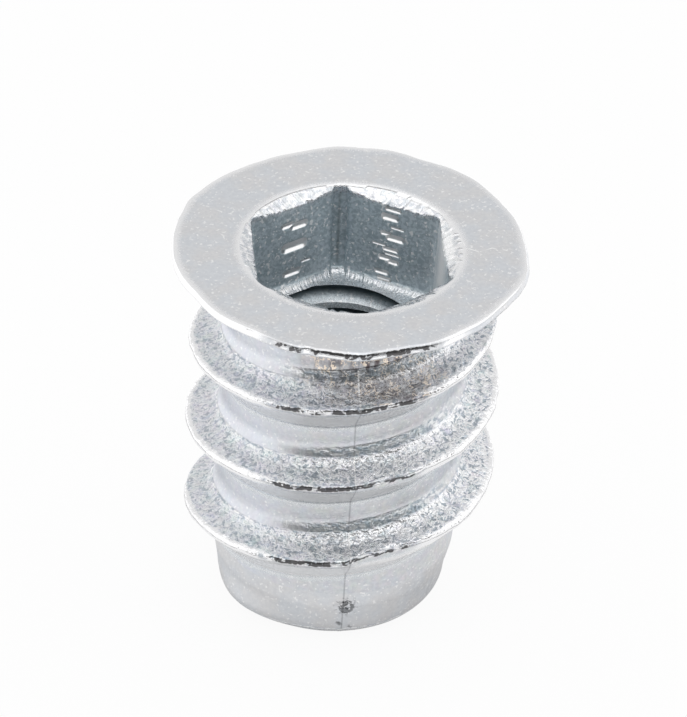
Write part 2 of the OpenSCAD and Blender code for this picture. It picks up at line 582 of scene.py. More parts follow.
def first_and_last(line, bottom, top):
    """Steps between which a threaded band opens above bottom and closes at top."""
    first = last = 0
    while line(first + STEPS)[1] > bottom:
        first -= 1
    while line(last)[1] < top(last) - LEVEL:
        last += 1
    return first, last


skin = bmesh.new()
wall_first, wall_last = first_and_last(wall_line, WALL_LOW_Z, lambda step: collar(step)[1])
wrap_band(skin, WALL_ROWS, wall_first, wall_last, wall_place)
bore_first, bore_last = first_and_last(lambda step: bore_place(0, step), 0, lambda step: FLOOR_Z)
wrap_band(skin, len(GROOVE_ROWS), bore_first, bore_last, bore_place)
wrap_columns(skin, flange_column)
wrap_columns(skin, tip_column)
bmesh.ops.remove_doubles(skin, verts=skin.verts, dist=SEW_GAP)
bmesh.ops.dissolve_degenerate(skin, dist=SLIVER, edges=skin.edges)
bmesh.ops.recalc_face_normals(skin, faces=skin.faces)
loose = [edge for edge in skin.edges if len(edge.link_faces) != 2]
print(f"{len(skin.faces)} faces, {len(loose)} open edges, {skin.calc_volume():.0f} cubic mm")

# %% [markdown]
# ## Casting marks
#
# A die casting is never as true as its drawing. The rim is a little wavy and stands out
# where the die parted, the two halves of the die didn't quite meet, so the crests step
# at the parting line, and metal ran short on one side of the lowest turns. These are
# gentle shifts of the skin, so each one is a short function of the angle, the radius and
# the height, and every vertex is moved once.

# %% Wavy rim
def lump(angle, centre, half_width):
    """A smooth bump of height 1 round an angle."""
    off = abs((angle - centre + 180) % 360 - 180)
    return smooth(1 - off / half_width)


# Angle, half width and height of each swelling of the rim, in degrees and millimetres.
RIM_LUMPS = [
    (72, 14, 0.26), (88, 14, 0.22), (-17, 16, 0.14), (-66, 10, 0.1), (-92, 12, 0.2),
    (44, 26, 0.22), (15, 14, 0.08), (-112, 18, 0.15), (118, 22, -0.1), (150, 8, 0.1),
    (-155, 12, -0.12), (-122, 22, -0.09), (-38, 10, -0.05),
]
RIM_BASE = -0.06
NICK_ANGLE = -108
NICK_HALF = 2.4
NICK_DEEP = 0.1


def rim_shift(angle):
    """How far the rim stands out at an angle, with its swellings and one nick."""
    nick = NICK_DEEP * smooth(1 - abs(angle - NICK_ANGLE) / NICK_HALF)
    return RIM_BASE - nick + sum(high * lump(angle, at, half) for at, half, high in RIM_LUMPS)


shifts = [rim_shift(angle) for angle in range(-180, 180)]
print(f"the rim is moved by {min(shifts):.2f} to {max(shifts):.2f} mm")

# %% [markdown]
# Metal cooled before it had filled some of the sharpest crests, all of them to the right
# of the parting line, so a crest there has a limit that it doesn't reach past. Low on
# the tip the gate, through which the metal came in, was broken off.

# %% Short crests and gate mark
# Angle, half width and depth of each place where a crest ran short, for each turn.
SHORT_CRESTS = {
    3: [(-78, 14, 0.16), (-62, 14, 0.14)],
    2: [(-82, 12, 0.42), (-70, 14, 0.34), (-58, 12, 0.12)],
}
# The turn under the flange is the fourth, and the lowest in front is the second.
TOP_TURN = 4
CREST_STEP_ANGLE = -91
GATE_ANGLE = -89.3
GATE_Z = 2.2
GATE_R = 0.24
GATE_HALF = 0.16
GATE_DEEP = 0.12
GATE_STUB = 0.05


def crest_limit(angle, height):
    """Largest radius that the metal filled, at an angle and a height."""
    turn = round((height - crest_z(turned_from(angle / STEP_DEG))) / PITCH) + TOP_TURN
    short = SHORT_CRESTS.get(turn, [])
    right_half = smooth((angle - CREST_STEP_ANGLE) / 2)
    return THREAD_R - right_half * sum(deep * lump(angle, at, half) for at, half, deep in short)


def gate_mark(angle, height):
    """How far the gate's ring of pits sinks, and the stub inside it stands out."""
    across = (angle - GATE_ANGLE) * math.pi / 180 * ROOT_R
    away = math.hypot(across, height - GATE_Z)
    ring = smooth(1 - abs(away - GATE_R) / GATE_HALF)
    pits = 0.5 + noise.noise((across * 5, height * 5, 1.7))
    return -GATE_DEEP * ring * pits + GATE_STUB * smooth(1 - away / GATE_HALF)


second_turn = [(angle, crest_z(turned_from(angle / STEP_DEG)) - 2 * PITCH) for angle in range(-90, 0)]
shortest = min(crest_limit(angle, height) for angle, height in second_turn)
print(f"the second turn's crest falls to a radius of {shortest:.2f} mm")

# %% [markdown]
# A short crest ends in a round edge, as metal does that never touched the die. The whole
# casting also leans a little to the left as it nears the tip.

# %% Round the short crests and lean the body
SHORT_ROUND = 0.12
LEAN_TOP_Z = 13.5
LEAN_LOW_Z = 2.5
LEAN_SLOPE = 0.022
TIP_LEAN = 0.2


def filled_r(radius, angle, height):
    """Radius of a point once its crest has run short."""
    top = crest_limit(angle, height)
    over = radius - (top - SHORT_ROUND)
    if over > 0 and top < THREAD_R:
        return top - SHORT_ROUND + SHORT_ROUND * (1 - math.exp(-over / SHORT_ROUND))
    return radius


def lean_at(radius, angle, height):
    """How far a point moves left: along the whole left side, but only at the tip on the right."""
    left = smooth(0.5 - math.cos(math.radians(angle)))
    lean = left * LEAN_SLOPE * max(0, LEAN_TOP_Z - max(height, LEAN_LOW_Z))
    lean += (1 - left) * TIP_LEAN * smooth((3 - height) / 1.2)
    return lean * (smooth((radius - 3.9) / 0.5) if height < 1.3 else 1)


print(f"the left of the body is moved by {lean_at(ROOT_R, 180, LEAN_LOW_Z):.2f} mm near the tip")

# %% [markdown]
# Whatever a core formed, which is the bore and the socket, stays true. The rest is
# moved: the rim in and out, and the body and its thread by a slight roughness, the line
# where the die parted, the short crests, the lean, and a swollen corner low on the left.

# %% Move a point of the skin
BORE_REACH = 4.04
SOCKET_REACH = 5.2
CORE_LOW_Z = 10
RIM_FROM_R = 5.9
RIM_REACH = 1.8
RIM_ROUGH = 0.03
RIM_ROUGH_R = 7.6
ROUGH_FROM_R = 5.5
COARSE_ROUGH = 0.05
FINE_ROUGH = 0.015
SEAM_PROUD = 0.03
SEAM_HALF = 1.5
SEAM_LIMIT_R = 6.6
# A small bead on the crest of the second turn, and a swollen corner at the foot of the tip.
BEAD_LOW_Z = 5.7
BEAD_HIGH_Z = 6.5
BEAD_PROUD = 0.14
CORNER_PROUD = 0.3
CORNER_Z = 0.85
CORNER_HALF = 1.1
FRONT_STEP = -90 / STEP_DEG
# Without a seed the noise starts from the clock, and no two castings would be the same.
ROUGH_SEED = 5
noise.seed_set(ROUGH_SEED)


def move_body(co, radius, angle, outward):
    """Where a point of the body, thread or tip lies in the real casting."""
    height = co.z
    radius = filled_r(radius, angle, height)
    proud = smooth(radius - ROUGH_FROM_R)
    rough = noise.noise_vector(co * 1.3) * COARSE_ROUGH * proud
    rough += noise.noise_vector(co * 3.1) * FINE_ROUGH * proud
    parted = lump(angle, -89.5, SEAM_HALF) + lump(angle, 90, SEAM_HALF)
    seam_here = SEAM_PROUD * parted * (1 - smooth((radius - SEAM_LIMIT_R) / 0.4))
    moved = outward * (radius + seam_here) + Vector((0, 0, height)) + rough
    moved.x -= lean_at(radius, angle, height)
    if BEAD_LOW_Z < height < BEAD_HIGH_Z and radius > 6:
        moved += outward * BEAD_PROUD * lump(angle, -80, 3)
    if height < 3:
        corner = CORNER_PROUD * lump(angle, -145, 36) * smooth(1 - abs(height - CORNER_Z) / CORNER_HALF)
        moved += outward * (corner + gate_mark(angle, height))
    return moved


def settle(co):
    """Where a point of the true skin lies in the real casting."""
    radius = math.hypot(co.x, co.y)
    angle = math.degrees(math.atan2(co.y, co.x))
    outward = Vector((math.cos(math.radians(angle)), math.sin(math.radians(angle)), 0))
    if radius < BORE_REACH or (radius < SOCKET_REACH and co.z > CORE_LOW_Z):
        return co
    if co.z > NECK_Z - 0.2 and radius > RIM_FROM_R:
        share = smooth((radius - RIM_FROM_R) / RIM_REACH)
        rough = RIM_ROUGH * noise.noise(co * 1.6) * smooth((radius - RIM_ROUGH_R) / 0.3)
        return co + outward * (share * rim_shift(angle) + rough)
    if co.z < NECK_Z:
        return move_body(co, radius, angle, outward)
    return co


front_crest = Vector((0, -THREAD_R, crest_z(turned_from(FRONT_STEP))))
print(f"the first crest in front moves by {(settle(front_crest) - front_crest).length:.2f} mm")

# %% [markdown]
# ## Where each finish lies
#
# One plating covers the whole casting, but the skin under it differs. The die's eroded
# cavity leaves the thread hammered like orange peel, most of all on the right, while the
# tip and the flange are nearly smooth. In the root below the flange the plating runs
# thick, with a brown and violet cast, and its dark brown also paints the shade under the
# flange. A colour attribute keeps four amounts at every vertex: hammering, brown cast,
# dullness, which also paints the bore dark as its shade, and painted light on edges,
# flanks and the socket's mouth. Below 0 the brown turns to lavender and the painted
# light to painted shade.

# %% Painted light and shade on the edges
EDGE_FRONT = -94
EDGE_FRONT_HALF = 40
BEADS_PER_DEG = 0.3
BEADS_PER_MM = 4
BEADS_PLACE = 3.1


def edge_light_and_shade(angle, height, dark):
    """Painted highlight on an edge, or painted shade if below 0: bright at the sides, dark in front."""
    front = smooth(2.5 * lump(angle, EDGE_FRONT, EDGE_FRONT_HALF))
    beads = noise.noise((angle * BEADS_PER_DEG, height * BEADS_PER_MM, BEADS_PLACE))
    return mix(1, mix(0.9, -1, smooth((0.34 - beads) / 0.16)) * dark, front)


def rim_light_and_shade(angle, height):
    """Painted highlight and shade on the rim: on the right a highlight along its upper edge and shade below
    it.
    """
    below = INSERT_H - height
    dark = smooth((below - 0.03) / 0.05) * smooth((0.3 - below) / 0.05)
    right_rim = smooth((angle + 62) / 14) * (1 - smooth((angle - 60) / 30))
    right_edge = mix(0.9, 0, smooth((below - 0.05) / 0.05)) - 0.5 * smooth((below - 0.24) / 0.06)
    return mix(edge_light_and_shade(angle, height, dark), right_edge, right_rim)


print(f"rim rubbed by {rim_light_and_shade(0, INSERT_H):.2f} along its upper edge on the right")

# %% [markdown]
# Inside, the socket's walls are dull and a little hammered, its floor is rougher and has
# some brown, and the bore is painted dark as its shade. Painted light lies on the mouth's
# edge, the top of the countersink, the floor, and the land between two grooves of the bore.

# %% Finish of the socket and the bore
INSIDE_R = 5.12
INSIDE_LOW_Z = 0.5
LIP_R = 4.88
LAND_R = BORE_R + 0.02


def inside_finish(angle, radius, height):
    """Hammering, brown cast, dullness and painted light at a point of the socket or the bore."""
    depth = smooth((INSERT_H - 0.3 - height) / 0.15)
    floor = smooth((FLOOR_Z + 0.4 - height) / 0.4)
    bore = 1 if height < FLOOR_Z - 0.01 and radius < 4.1 else 0
    lip = 1 if radius > LIP_R and height > INSERT_H - 0.05 else 0
    land = bore * (1 if radius < LAND_R else 0)
    hammer = max(mix(0.6 * (1 - lip), 0.2, depth), floor * (1 - bore))
    brown_cast = 0.55 * floor * lump(angle, 140, 105) * (1 - bore)
    # Painted highlights on the mouth's edge, the countersink, the floor and the bore's land.
    wear_and_painted_light = max(0.8 * lip, 0.45 * (1 - depth), 0.6 * floor * (1 - bore), 0.5 * land)
    # In the bore the dullness is high enough to paint it dark as its shade, except on the land.
    return hammer, brown_cast, mix(0.3 * depth * (1 - 0.7 * floor), 1 - 0.65 * land, bore), wear_and_painted_light


wall_finish = inside_finish(0, KEY_HALF, INSERT_H - SOCKET_DEPTH / 2)
print(f"half way down the socket the hammering is {wall_finish[0]:.2f} and the dullness {wall_finish[2]:.2f}")

# %% [markdown]
# On the thread the upper flanks are hammered, and the lower ones are smoother and duller,
# with painted light over them. The hollow at the foot of an upper flank is rippled in
# front, with a painted highlight line beside it, and the brown cast fills the root below
# the flange, where its dark brown also paints the flange's shade. The crests carry
# painted highlights at the sides and painted shade in front.

# %% Finish of the thread
FIRST_ROOT_Z = 14.9
BROWN_LOW_Z = 14.6
BROWN_HIGH_Z = 16.3
FLANK_RISE = 0.2
FILLET_HIGHLIGHT_RISE = 0.3
FOOT_OFF = 1.95
CREST_BAND = 0.3


def off_crest(angle, height):
    """Height above the middle of the nearest turn's crest."""
    off = height - crest_z(turned_from(angle / STEP_DEG))
    return (off + PITCH / 2) % PITCH - PITCH / 2


def thread_finish(angle, radius, height, right_side):
    """Hammering, brown cast, dullness and painted light at a point of the body or the wood thread."""
    above = off_crest(angle, height)
    upper_side = smooth((above + 0.05) / 0.1) if above < 2 else 1
    flank = smooth((radius - ROOT_R - FLANK_RISE) / 0.1)
    ridge = smooth((radius - ROOT_R - 0.005) / 0.03)
    first_root = smooth((height - FIRST_ROOT_Z) / 0.3)
    hollow = ridge * (1 - flank) * upper_side * lump(angle, -74, mix(60, 80, first_root))
    hammer = mix(0.12, 1, flank * upper_side) * mix(0.7, 1, right_side)
    hammer += mix(0.45, 0.85, first_root) * hollow
    # Painted light on the upper flanks in front.
    bright = 0.35 * flank * upper_side * lump(angle, -80, 50)
    # Brown film under the flange, whose dark streaks also paint its shade there.
    in_brown = smooth((height - BROWN_LOW_Z) / 0.3) * (1 - smooth((height - BROWN_HIGH_Z) / 0.5))
    brown_cast = max(in_brown * lump(angle, -84, 48), 0)
    bluish = 0.4 * (1 - flank) * (1 - hollow) * (1 - right_side)
    cast = brown_cast - bluish * (1 - smooth(3 * brown_cast))
    # Painted light over the lower flanks, and in a band halfway between the turns.
    foot = smooth((abs(above) - FOOT_OFF) / 0.06) * (1 - first_root)
    lower_side = max(ridge * (1 - upper_side), 0.6 * foot)
    crest = smooth((radius - THREAD_R + CREST_BAND) / 0.1)
    # A band of painted shade along the crests in front.
    dark = smooth((above + 0.1) / 0.05) * smooth((0.14 - above) / 0.05)
    # A painted highlight line along the fillet, just above the root.
    fillet_highlight = 0.7 * smooth(1 - abs(radius - ROOT_R - FILLET_HIGHLIGHT_RISE) / 0.09) * upper_side * lump(angle, -65, 70)
    edge = mix(max(lower_side, fillet_highlight, bright), edge_light_and_shade(angle, height, dark), crest)
    return hammer * (1 - 0.3 * crest), cast, 0.3 * lower_side * (1 - crest) + 0.13 * hollow, edge


flank_finish = thread_finish(0, THREAD_R - 0.6, crest_z(turned_from(0)) + 0.25, 1)
print(f"an upper flank on the right is hammered by {flank_finish[0]:.2f}")

# %% [markdown]
# One function now chooses between these by where a point lies, and a single pass stores
# the finish at the true place of every vertex before moving it.

# %% Store the finish
# Painted shade on the front and right of the tip, laid on as a little of the brown cast.
TIP_SHADE = 0.17


def finish_at(angle, radius, height):
    """Hammering, brown cast, dullness and painted light at a point of the skin."""
    if radius < INSIDE_R and height > INSIDE_LOW_Z:
        return inside_finish(angle, radius, height)
    if height > INSERT_H - 0.6 and (radius > 6.5 or height > INSERT_H - 0.1):
        edge = smooth((radius - FLANGE_R + 0.3) / 0.12)
        return 0.05, 0, 0, edge * rim_light_and_shade(angle, height)
    if height < WALL_LOW_Z + 0.3:
        return 0.03, TIP_SHADE * lump(angle, -36, 48), 0, 0
    right_side = smooth((angle + 145) / 60) * (1 - smooth((angle - 20) / 60))
    return thread_finish(angle, radius, height, right_side)


finish = skin.verts.layers.float_color.new("finish")
for vertex in skin.verts:
    flat_r = math.hypot(vertex.co.x, vertex.co.y)
    angle = math.degrees(math.atan2(vertex.co.y, vertex.co.x))
    vertex[finish] = finish_at(angle, flat_r, vertex.co.z)
    vertex.co = settle(vertex.co)
width = max(v.co.x for v in skin.verts) - min(v.co.x for v in skin.verts)
print(f"finish stored at {len(skin.verts)} vertices, and the casting is {width:.2f} mm wide")

# %% [markdown]
# ## The piece itself
#
# The skin now becomes one mesh. It is shaded smooth, with creases kept wherever two
# faces meet at more than 38 degrees, as at the rim and the corners of the socket. It
# rides on the only body and stands in for the frame's plain casting.

# %% Make the piece
CREASE_ANGLE = math.radians(38)
bmesh.ops.scale(skin, vec=(MM, MM, MM), verts=skin.verts)
skin_data = bpy.data.meshes.new("insert_casting")
skin.to_mesh(skin_data)
skin.free()
skin_data.shade_smooth()
skin_data.set_sharp_from_angle(angle=CREASE_ANGLE)
casting = bpy.data.objects.new("insert_casting", skin_data)
bpy.context.scene.collection.objects.link(casting)
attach(casting, "root")
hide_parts("insert_body")
print(f"{sum(len(face.vertices) - 2 for face in skin_data.polygons)} triangles")

# %% [markdown]
# ## Bright zinc plating on a die casting
#
# The zinc alloy is cast under pressure and barrel plated with zinc, then dipped in a blue
# passivate. To the eye that is a bright, slightly soft metal with a faint bluish cast,
# which shifts towards pink and yellow where the film is thicker. It starts from a metal
# of roughness 0.3. Every pattern is worked out in millimetres from the place on the
# part: orange peel with bumps 0.2 mm apart, a grain of 0.08 mm, and swellings of about
# 1 mm. The finest two are drawn a little coarser than they are, so that they show.
#
# One function adds a node, sets or links its inputs and gives back the output asked
# for. Another turns the colours, which are written as they look on a screen, to the
# linear values that light is reckoned in.

# %% Nodes and colours
SOFT = {"interpolation_type": "SMOOTHSTEP"}


def linear(code):
    """Turns an sRGB hex colour into Blender's linear colour."""
    parts = [int(code[i:i + 2], 16) / 255 for i in (1, 3, 5)]
    return tuple(c / 12.92 if c <= 0.04045 else ((c + 0.055) / 1.055) ** 2.4 for c in parts) + (1,)


def add(kind, inputs=(), output=0, **settings):
    """Adds a node to the tree in hand, sets or links its inputs, and gives back an output."""
    made = tree.nodes.new("ShaderNode" + kind)
    for name, value in settings.items():
        setattr(made, name, value)
    for name, value in (inputs if isinstance(inputs, dict) else dict(enumerate(inputs))).items():
        if isinstance(value, bpy.types.NodeSocket):
            tree.links.new(value, made.inputs[name])
        else:
            made.inputs[name].default_value = value
    return made.outputs[output] if made.outputs else None


def overlap(*masks):
    """Where all the masks lie together."""
    total = masks[0]
    for mask in masks[1:]:
        total = add("Math", (total, mask), operation="MULTIPLY")
    return total


def strongest(*masks):
    """Where any of the masks lies."""
    total = masks[0]
    for mask in masks[1:]:
        total = add("Math", (total, mask), operation="MAXIMUM")
    return total


def patches(per_mm, low, high, start=0.0, end=1.0, detail=1, where=None, twist=0.0):
    """Irregular patches: a noise with so many bumps to the millimetre, cut between low and high."""
    bumps = add("TexNoise", {"Vector": where or place_mm, "Scale": per_mm,
                             "Detail": detail, "Distortion": twist})
    return add("MapRange", (bumps, low, high, start, end), **SOFT)


metal = bpy.data.materials.new("zinc_plating")
metal.use_nodes = True
tree = metal.node_tree
tree.nodes.clear()
place = add("TexCoord", output="Object")
place_mm = add("VectorMath", {0: place, "Scale": 1 / MM}, operation="SCALE")
spot_mm = add("SeparateXYZ", (place_mm,)).node.outputs
stored = add("Attribute", output="Color", attribute_name="finish")
painted_light = stored.node.outputs["Alpha"]
hammered, brown, dull_and_shade = add("SeparateColor", (stored,)).node.outputs
print(f"colours such as {tuple(round(c, 2) for c in linear('#C9D3D8'))} in linear light")

# %% [markdown]
# ### Marks on the walls and the flange
#
# Molten zinc that chills too early leaves flow marks: short shiny grooves, here in rows
# on the two back walls of the hexagon, painted white as the reflections in them. There
# is also painted light over the right wall, with a painted highlight down near its corner,
# a line of painted shade down the back corner beside the notch, and a dashed scratch over
# the flange. All of them are finer than the mesh, so each is drawn by how near a point
# lies to a straight line between two places. Flat 60 of the hexagon lies 60 degrees round
# from +X.

# %% Flow marks, painted light on the right wall and scratch
def streak(start, stop, half_width, deep=1.0):
    """How near the surface lies to a straight mark, from 0 to deep, all in millimetres."""
    along = Vector(stop) - Vector(start)
    off = add("VectorMath", (place_mm, start), operation="SUBTRACT")
    share = add("VectorMath", (off, along / along.length_squared), "Value", operation="DOT_PRODUCT")
    share = add("Clamp", (share,))
    foot = add("VectorMath", {0: along, "Scale": share}, operation="SCALE")
    away = add("VectorMath", (off, foot), "Value", operation="DISTANCE")
    return add("MapRange", (away, 0, half_width, deep, 0), **SOFT)


def on_flat(flat, along, height):
    """A point on a wall of the hexagon, so far along from the middle of the flat."""
    turn = math.radians(flat)
    radius = KEY_HALF + DRAFT * (height - FLOOR_Z)
    return (radius * math.cos(turn) - along * math.sin(turn),
            radius * math.sin(turn) + along * math.cos(turn), height)


def on_top(radius, angle):
    """A point on the flange's top."""
    turn = math.radians(angle)
    return (radius * math.cos(turn), radius * math.sin(turn), INSERT_H)


# Each flow mark: flat, start and stop along it, height and half width.
FLOW_MARKS = [(120, 0.65, 0.2, 17.22, 0.2), (120, 0.1, -0.5, 17.05, 0.26), (120, 0.5, -0.4, 16.0, 0.34),
              (120, 0, -0.45, 16.2, 0.12), (120, 0.5, -0.15, 14.6, 0.24), (120, -0.4, -0.8, 15.0, 0.1),
              (60, 0.1, -0.5, 17.88, 0.16), (60, 0.2, -0.35, 17.45, 0.24), (60, -0.2, -0.75, 16.95, 0.1),
              (60, 0.25, -0.1, 16.55, 0.16), (60, -0.1, -0.7, 16.4, 0.24), (60, 0.65, 0.1, 15.9, 0.1),
              (60, 0.1, -0.5, 15.75, 0.16), (60, 0, -0.6, 15.5, 0.1), (60, 0.25, -0.15, 15.25, 0.2),
              (60, -0.2, -0.55, 15.12, 0.18), (60, 0.4, -0.1, 14.45, 0.18), (60, 0.25, -0.25, 14.12, 0.16)]
# A wide mark is deeper than a narrow one, so both turn their lower lip up to the light.
groove = strongest(*[streak(on_flat(flat, first, high), on_flat(flat, last, high), half, half)
                     for flat, first, last, high, half in FLOW_MARKS])
# The white of the flow marks paints the reflections in their grooves.
flow_glint = add("MapRange", (groove, 0.01, 0.06), **SOFT)
# Painted light over the right wall, with a painted highlight down near its corner.
right_wall_light = strongest(streak((4.2, 1.95, 14.5), (4.28, 2.1, 18.1), 0.2),
                 streak(on_flat(0, 0.4, 14.5), on_flat(0, 0.4, 18), 2.6))
right_wall_light = overlap(right_wall_light, add("MapRange", (spot_mm[2], 18.3, 18.15), **SOFT))
# Painted shade down the back corner, beside the notch.
corner_line = streak((-0.02, 4.72, 14.3), (-0.02, 4.82, 18), 0.12, 0.5)
# The scratch's bends, as radius and angle, and a short fine one at the back.
SCRATCH = [(5.05, 5.5), (5.2, -2.5), (5.79, -5.5), (6.34, -2.4), (6.91, -3.6), (7.44, -5.8)]
scratch = strongest(*[streak(on_top(*a), on_top(*b), 0.05) for a, b in zip(SCRATCH, SCRATCH[1:])],
                    streak(on_top(5.76, 152), on_top(6.57, 152), 0.03))
scratch = overlap(scratch, patches(2.6, 0.42, 0.55))
print(f"{len(FLOW_MARKS)} flow marks and {len(SCRATCH)} bends of the scratch")

# %% [markdown]
# ### Marks of the parting line and the gate
#
# In front the two halves of the die met. They left a thin line down the tip and the
# roots, torn white where it crosses a flank. Low on the tip the gate was broken off,
# which left a ring of pits with a few loose ones round it.

# %% Seam, gate and pits
GATE = (0.05, -5.38, 2.12)
seam_x = add("MapRange", (spot_mm[2], 0, 14, -0.13, 0.03), **SOFT)
off_seam = add("Math", (add("Math", (spot_mm[0], seam_x), operation="SUBTRACT"),), operation="ABSOLUTE")
seam = overlap(add("MapRange", (off_seam, 0.015, 0.055, 1, 0), **SOFT),
               add("MapRange", (spot_mm[1], -4.9, -5.1), **SOFT),
               add("MapRange", (spot_mm[2], 17.3, 17.2), **SOFT))
torn = strongest(streak((0.05, -5.9, 10.4), (0.12, -6.6, 10.3), 0.13),
                 streak((-0.25, -5.8, 6.1), (-0.1, -6.7, 6.0), 0.14))
crest_pit = streak((3.95, -4.72, 6.7), (4.05, -4.85, 6.55), 0.13)
gate_away = add("VectorMath", (place_mm, GATE), "Value", operation="DISTANCE")
off_ring = add("Math", (add("Math", (gate_away, 0.25), operation="SUBTRACT"),), operation="ABSOLUTE")
ring = overlap(add("MapRange", (off_ring, 0.18, 0.04), **SOFT), patches(5, 0.42, 0.52))
loose_pits = overlap(add("MapRange", (gate_away, 0.8, 0.3, 0, 0.45), **SOFT), patches(6, 0.6, 0.66))
low_pits = strongest(streak((-0.3, -5.25, 1.1), (-0.2, -5.2, 1.0), 0.16),
                     streak((0.22, -5.2, 0.85), (0.3, -5.2, 0.75), 0.13))
gate = strongest(ring, loose_pits, overlap(low_pits, patches(5, 0.4, 0.5)))
print(f"gate mark {GATE[2]:.2f} mm above the flat end")

# %% [markdown]
# ### Texture in height
#
# The orange peel lies on flanks that slope and on fillets that turn, so its noise isn't
# read at the plain place, which would stretch it there. It is read at the way round the
# axis, at the thread's mean radius, and at the distance along the section. A bump node
# turns the sum of all the layers into shading.

# %% Orange peel and relief
flat_mm = add("VectorMath", (place_mm, (1, 1, 0)), operation="MULTIPLY")
round_way = add("VectorMath", (flat_mm,), operation="NORMALIZE")
round_way = add("VectorMath", {0: round_way, "Scale": (ROOT_R + THREAD_R) / 2}, operation="SCALE")
out_mm = add("VectorMath", (flat_mm,), "Value", operation="LENGTH")
along_section = overlap(add("Math", (out_mm, spot_mm[2]), operation="SUBTRACT"), 0.8)
along_section = add("CombineXYZ", {2: along_section})
on_section = add("VectorMath", (round_way, along_section), operation="ADD")
peel = add("TexNoise", {"Vector": on_section, "Scale": 5.4, "Detail": 0.9, "Distortion": 0.7})
grain = add("TexNoise", {"Vector": place_mm, "Scale": 12, "Detail": 2})
swell = add("TexNoise", {"Vector": place_mm, "Scale": 0.9, "Detail": 1})
long_place = add("Mapping", {"Vector": place_mm, "Scale": (0.6, 0.6, 1.3)})
ripple = add("TexNoise", {"Vector": long_place, "Scale": 5.5, "Detail": 1, "Distortion": 0.5})
rippling = add("MapRange", (hammered, 0.1, 0.5), **SOFT)
height_mm = 0.0
# Each layer with its depth in millimetres. The groove's is a share of its own width.
LAYERS = [
    (overlap(peel, hammered), 0.058),
    (overlap(ripple, rippling), 0.035),
    (groove, -0.75),
    (gate, -0.06),
    (grain, 0.006),
    (swell, 0.02),
]
for layer, depth in LAYERS:
    height_mm = add("Math", (layer, depth, height_mm), operation="MULTIPLY_ADD")
relief = add("Bump", {"Strength": 1.0, "Distance": MM, "Height": height_mm})
print(f"{len(tree.nodes)} nodes so far")

# %% [markdown]
# ### Colours of the thread
#
# The film over the zinc is nearly colourless on the flange and the tip, bluish on the
# flanks and lavender in the roots. The peel carries its own light and dark: white curls
# where its slopes catch the light, and blue-grey hollows between them. Under the flange
# the film is thick and turns brown, with cream curls, and its dark brown streaks also
# paint the shade under the flange and on the front and right of the tip. The white and
# blue-grey on the ripples of the fillets are painted highlight and shade, and the white
# specks all over are painted glints.

# %% Film, peel and brown cast
def lay(tint, layers):
    """Lays colours over a tint in turn, each one where its mask lies."""
    for mask, colour in layers:
        tint = add("Mix", {0: mask, 6: tint, 7: linear(colour)}, 2, data_type="RGBA")
    return tint


film = patches(0.8, 0.35, 0.65, detail=2)
plain_film = add("Mix", {0: film, 6: linear("#DADDE1"), 7: linear("#DDDDDE")}, 2, data_type="RGBA")
flank_film = add("Mix", {0: film, 6: linear("#D3DDE2"), 7: linear("#D8DAE5")}, 2, data_type="RGBA")
on_flank = add("MapRange", (hammered, 0.12, 0.8), **SOFT)
tint = add("Mix", {0: on_flank, 6: plain_film, 7: flank_film}, 2, data_type="RGBA")
on_thread = add("MapRange", (hammered, 0.055, 0.08), **SOFT)
hues = add("TexNoise", {"Vector": place_mm, "Scale": 2.5, "Detail": 2}, "Color")
hue_share = overlap(on_thread, add("MapRange", (hammered, 0.1, 0.9, 0.09, 0.2), **SOFT))
tint = add("Mix", {0: hue_share, 6: tint, 7: hues}, 2, data_type="RGBA")
strongly = add("MapRange", (hammered, 0.25, 1), **SOFT)
off_middle = add("Math", (add("Math", (peel, 0.5), operation="SUBTRACT"),), operation="ABSOLUTE")
curls = overlap(add("MapRange", (off_middle, 0.08, 0.04), **SOFT), patches(3, 0.36, 0.44))
in_fillet = overlap(add("MapRange", (hammered, 0.15, 0.4), **SOFT),
                    add("MapRange", (hammered, 0.68, 0.6), **SOFT))
mottled = overlap(patches(5.5, 0.3, 0.7, detail=2),
                  add("MapRange", (on_thread, 0, 1, 0.2, 0.34), **SOFT))
tint = lay(tint, [
    (overlap(add("MapRange", (peel, 0.44, 0.36), **SOFT), strongly), "#A1ABB3"),
    (overlap(curls, strongly), "#FDFDFD"),
    (overlap(add("MapRange", (peel, 0.6, 0.64), **SOFT), strongly), "#FDFDFD"),
    (mottled, "#B5B8C0"),
    (add("MapRange", (brown, 0, -1), **SOFT), "#E3E7F3"),
    # Painted highlight and shade on the ripples of the fillets.
    (overlap(add("MapRange", (ripple, 0.54, 0.6, 0, 0.85), **SOFT), in_fillet), "#FDFDFD"),
    (overlap(add("MapRange", (ripple, 0.47, 0.41, 0, 0.6), **SOFT), in_fillet), "#8C9BA8"),
    # Painted glints: white specks all over.
    (patches(6.5, 0.64, 0.7, end=0.7), "#F8F8F8"),
])
# Dark brown streaks: the brown film, which also paints the shade under the flange and on the tip.
tall_place = add("Mapping", {"Vector": place_mm, "Scale": (1, 1, 0.35)})
brown_shade_streaks = patches(3.5, 0.35, 0.6, 0.97, 0.38, detail=2, where=tall_place)
cream_curls = overlap(curls, add("MapRange", (brown, 0.1, 0.6), **SOFT), patches(2.2, 0.45, 0.55))
tint = lay(tint, [(overlap(brown, brown_shade_streaks), "#5A4F51"), (cream_curls, "#F3E4D3")])
print(f"{len(tree.nodes)} nodes with the thread's colours")

# %% [markdown]
# ### Socket, bore, edges and marks
#
# Little passivate drains out of the socket, so its walls dry to a bluish matt bloom with
# a woven look and bright specks, and its darker tone also paints the shade in the socket.
# The bore is painted dark grey as its shade, and dull. The edges carry painted highlights
# at the sides and painted shade in front, broken up raggedly, and painted light also lies
# on the lower flanks, beside the fillets and at the socket's mouth.

# %% Bloom, edges and shader
matt = add("MapRange", (dull_and_shade, 0, 0.3), **SOFT)
